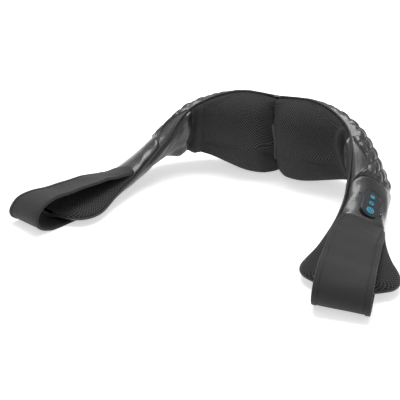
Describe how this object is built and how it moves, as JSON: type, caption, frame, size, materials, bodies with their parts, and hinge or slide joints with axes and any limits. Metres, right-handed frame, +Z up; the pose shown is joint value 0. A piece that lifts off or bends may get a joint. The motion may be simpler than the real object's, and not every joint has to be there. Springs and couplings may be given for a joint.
{
  "type": "shiatsu neck massager",
  "caption": "Padded U-shaped neck massager with kneading heads under two mesh lobes, flexible arms ending in flared paddles with hand loops, and a key pad on one arm.",
  "frame": {"origin": "on the surface it rests on, under the middle of its bounding box", "axes": "+X to the wearer's side with the key pad, -Y from the pod toward the ends of the arms, +Z up"},
  "size_m": [0.5528, 0.4023, 0.1436],
  "materials": {
    "quilted_leather": "black quilted synthetic leather, satin",
    "smooth_leather": "black smooth synthetic leather, satin",
    "gusset_cloth": "fine black stretch cloth",
    "air_mesh": "charcoal spacer mesh with round holes",
    "strap_cloth": "charcoal napped foam-backed cloth",
    "piping": "dark grey corded piping",
    "foam": "open-cell foam",
    "abs_black": "black moulded ABS, fine texture",
    "nylon_frame": "glass-filled nylon",
    "gear_nylon": "natural nylon, greased",
    "node_rubber": "firm rubber",
    "steel": "plain zinc plated steel",
    "bronze": "sintered bronze",
    "circuit_board": "green solder mask",
    "heater_film": "polyimide heater film",
    "cable_black": "PVC lead",
    "pad_gloss": "smoked glossy plastic",
    "button_teal": "smoked plastic with teal back light",
    "rivet_metal": "gunmetal domed rivets"
  },
  "bodies": {
    "pod": {"back_cover": "quilted_leather", "back_foam": "foam", "rear_housing": "abs_black", "front_housing": "abs_black", "housing_screws": "steel", "motor_can": "steel", "motor_endcap": "abs_black", "motor_bracket": "steel", "output_bushes": "bronze", "shaft_bearings": "bronze", "main_pcb": "circuit_board", "heater_ring_left": "heater_film", "heater_ring_right": "heater_film", "dc_jack": "abs_black", "mesh_cover_left": "air_mesh", "mesh_cover_right": "air_mesh", "end_gusset_left": "gusset_cloth", "end_gusset_right": "gusset_cloth", "centre_seam": "gusset_cloth", "pod_piping_left": "piping", "pod_piping_right": "piping", "flex_core_left": "foam", "flex_core_right": "foam", "pod_harness": "cable_black"},
    "rotor": {"motor_shaft": "steel", "worm_left": "bronze", "worm_right": "bronze"},
    "left_head": {"worm_wheel_left": "gear_nylon", "output_shaft_left": "steel", "claw_left": "nylon_frame", "tall_nodes_left": "node_rubber", "short_nodes_left": "node_rubber"},
    "right_head": {"worm_wheel_right": "gear_nylon", "output_shaft_right": "steel", "claw_right": "nylon_frame", "tall_nodes_right": "node_rubber", "short_nodes_right": "node_rubber"},
    "left_arm": {"arm_cover_left": "quilted_leather", "arm_lining_left": "smooth_leather", "arm_core_left": "foam", "paddle_mesh_left": "air_mesh", "arm_piping_left": "piping", "hand_loop_left": "strap_cloth"},
    "right_arm": {"arm_cover_right": "quilted_leather", "arm_lining_right": "smooth_leather", "arm_core_right": "foam", "paddle_mesh_right": "air_mesh", "arm_piping_right": "piping", "hand_loop_right": "strap_cloth", "control_housing": "abs_black", "control_pcb": "circuit_board", "control_bezel": "pad_gloss", "control_rivets": "rivet_metal", "arm_harness": "cable_black"},
    "power_key": {"power_button": "button_teal"},
    "direction_key": {"direction_button": "button_teal"},
    "heat_key": {"heat_button": "button_teal"}
  },
  "joints": [
    {"name": "left_head_spin", "type": "hinge", "parent": "pod", "child": "left_head", "pos_m": [-0.0486, 0.17105, 0.0642], "axis": [0, -0.9659, -0.2588], "continuous": true},
    {"name": "right_head_spin", "type": "hinge", "parent": "pod", "child": "right_head", "pos_m": [0.0634, 0.17105, 0.0642], "axis": [0, -0.9659, -0.2588], "continuous": true},
    {"name": "motor_spin", "type": "hinge", "parent": "pod", "child": "rotor", "pos_m": [0.0074, 0.15667, 0.08313], "axis": [1, 0, 0], "continuous": true},
    {"name": "left_arm_flex", "type": "hinge", "parent": "pod", "child": "left_arm", "pos_m": [-0.13783, 0.12711, 0.0709], "axis": [0, 0, -1], "range_deg": [-12, 14]},
    {"name": "right_arm_flex", "type": "hinge", "parent": "pod", "child": "right_arm", "pos_m": [0.15263, 0.12711, 0.0709], "axis": [0, 0, 1], "range_deg": [-12, 14]},
    {"name": "power_press", "type": "slide", "parent": "right_arm", "child": "power_key", "axis": [-0.5121, 0.2003, -0.8352], "range_m": [0, 0.001], "stiffness_N_per_m": 1500},
    {"name": "direction_press", "type": "slide", "parent": "right_arm", "child": "direction_key", "axis": [-0.5121, 0.2003, -0.8352], "range_m": [0, 0.001], "stiffness_N_per_m": 1500},
    {"name": "heat_press", "type": "slide", "parent": "right_arm", "child": "heat_key", "axis": [-0.5121, 0.2003, -0.8352], "range_m": [0, 0.001], "stiffness_N_per_m": 1500}
  ],
  "couplings": [
    {"joint": "left_head_spin", "follows": "motor_spin", "ratio": -0.027778},
    {"joint": "right_head_spin", "follows": "motor_spin", "ratio": 0.027778}
  ]
}
